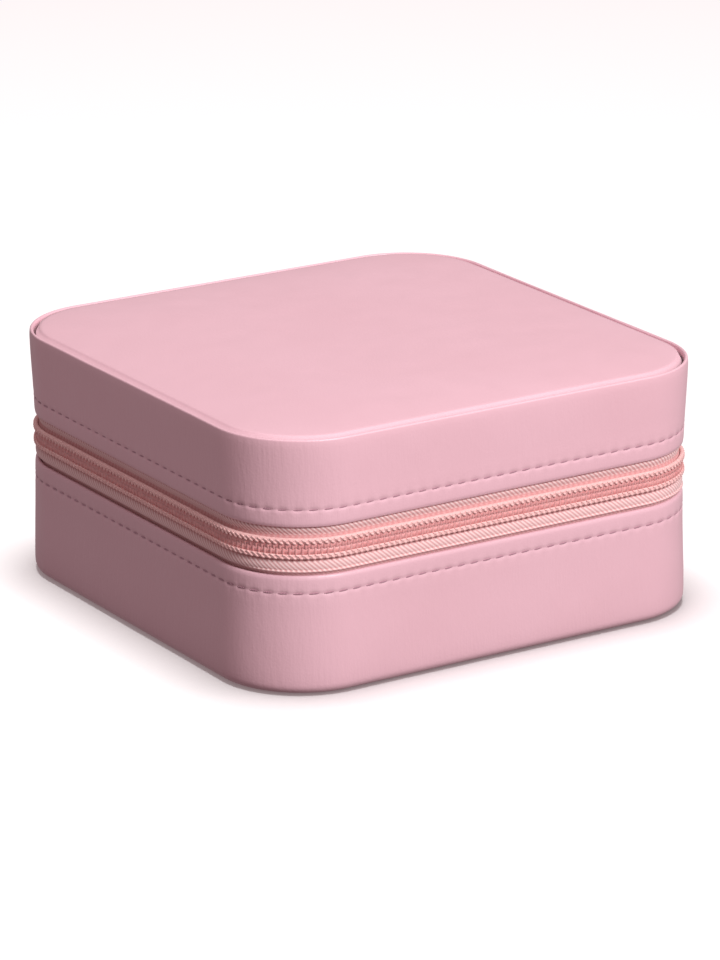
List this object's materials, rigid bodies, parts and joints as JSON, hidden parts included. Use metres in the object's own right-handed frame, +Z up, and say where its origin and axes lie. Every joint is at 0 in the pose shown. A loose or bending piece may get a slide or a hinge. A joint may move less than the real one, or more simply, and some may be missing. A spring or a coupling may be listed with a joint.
{
  "type": "jewellery case",
  "caption": "Square zip-round travel case for jewellery: padded leather lid on a leather hinge, coil zip, ring rolls, compartments, pocket and snap straps.",
  "frame": {"origin": "centre of the case's plan, on the face that the base rests on", "axes": "+Z up, -Y the front, +Y the leather hinge, +X the side where the closed zip's slider rests"},
  "size_m": [0.105, 0.1018, 0.049],
  "materials": {
    "leather": "smooth fine-grained pink leather, semi-matt",
    "thread": "pink sewing thread",
    "zip_tape": "woven salmon pink twill tape",
    "zip_coil": "salmon nylon coil",
    "velvet": "short-pile blush velvet",
    "shell": "plain moulded liner",
    "foam": "thin padding foam",
    "metal": "polished rose-gold plate"
  },
  "bodies": {
    "base": {"base_shell": "shell", "base_leather_band": "leather", "base_bottom_panel": "leather", "base_lining": "velvet", "base_floor_pad": "velvet", "partition": "velvet", "ring_tray": "velvet", "ring_roll_1": "velvet", "ring_roll_2": "velvet", "ring_roll_3": "velvet", "ring_roll_4": "velvet", "ring_roll_5": "velvet", "ring_roll_6": "velvet", "ring_roll_7": "velvet", "ring_roll_8": "velvet", "zip_tape_lower": "zip_tape", "zip_coil_lower": "zip_coil", "zip_top_stop_lower": "metal", "zip_bottom_stop": "metal", "base_seam_thread": "thread", "hinge_leather": "leather", "hinge_lining": "velvet", "hinge_thread_lower": "thread"},
    "lid": {"lid_shell": "shell", "lid_leather_band": "leather", "top_foam": "foam", "top_leather_panel": "leather", "lid_lining": "velvet", "lid_inner_panel": "velvet", "pocket": "velvet", "pocket_elastic": "velvet", "strap_rail": "leather", "snap_stud_1": "metal", "snap_stud_2": "metal", "snap_stud_3": "metal", "zip_tape_upper": "zip_tape", "zip_coil_upper": "zip_coil", "zip_top_stop_upper": "metal", "lid_seam_thread": "thread", "hinge_thread_upper": "thread"},
    "slider": {"slider_body": "metal"},
    "pull": {"slider_pull": "metal"},
    "divider_front": {"divider_front": "velvet"},
    "divider_rear": {"divider_rear": "velvet"},
    "strap_1": {"strap_1": "leather", "snap_cap_1": "metal"},
    "strap_2": {"strap_2": "leather", "snap_cap_2": "metal"},
    "strap_3": {"strap_3": "leather", "snap_cap_3": "metal"}
  },
  "joints": [
    {"name": "lid_hinge", "type": "hinge", "parent": "base", "child": "lid", "pos_m": [0, 0.0511, 0.0282], "axis": [-1, 0, 0], "range_deg": [0, 105], "deforming": ["hinge_leather", "hinge_lining"]},
    {"name": "slider_slide", "type": "slide", "parent": "base", "child": "slider", "axis": [0, -1, 0], "range_m": [0, 0.053]},
    {"name": "pull_hinge", "type": "hinge", "parent": "slider", "child": "pull", "pos_m": [0.05295, 0.02595, 0.0282], "axis": [0, 0, 1], "range_deg": [0, 175]},
    {"name": "divider_front_lift", "type": "slide", "parent": "base", "child": "divider_front", "axis": [0, 0, 1], "range_m": [0, 0.014]},
    {"name": "divider_rear_lift", "type": "slide", "parent": "base", "child": "divider_rear", "axis": [0, 0, 1], "range_m": [0, 0.014]},
    {"name": "strap_1_hinge", "type": "hinge", "parent": "lid", "child": "strap_1", "pos_m": [-0.026, -0.0393, 0.041], "axis": [-1, 0, 0], "range_deg": [0, 90]},
    {"name": "strap_2_hinge", "type": "hinge", "parent": "lid", "child": "strap_2", "pos_m": [0, -0.0393, 0.041], "axis": [-1, 0, 0], "range_deg": [0, 90]},
    {"name": "strap_3_hinge", "type": "hinge", "parent": "lid", "child": "strap_3", "pos_m": [0.026, -0.0393, 0.041], "axis": [-1, 0, 0], "range_deg": [0, 90]}
  ]
}
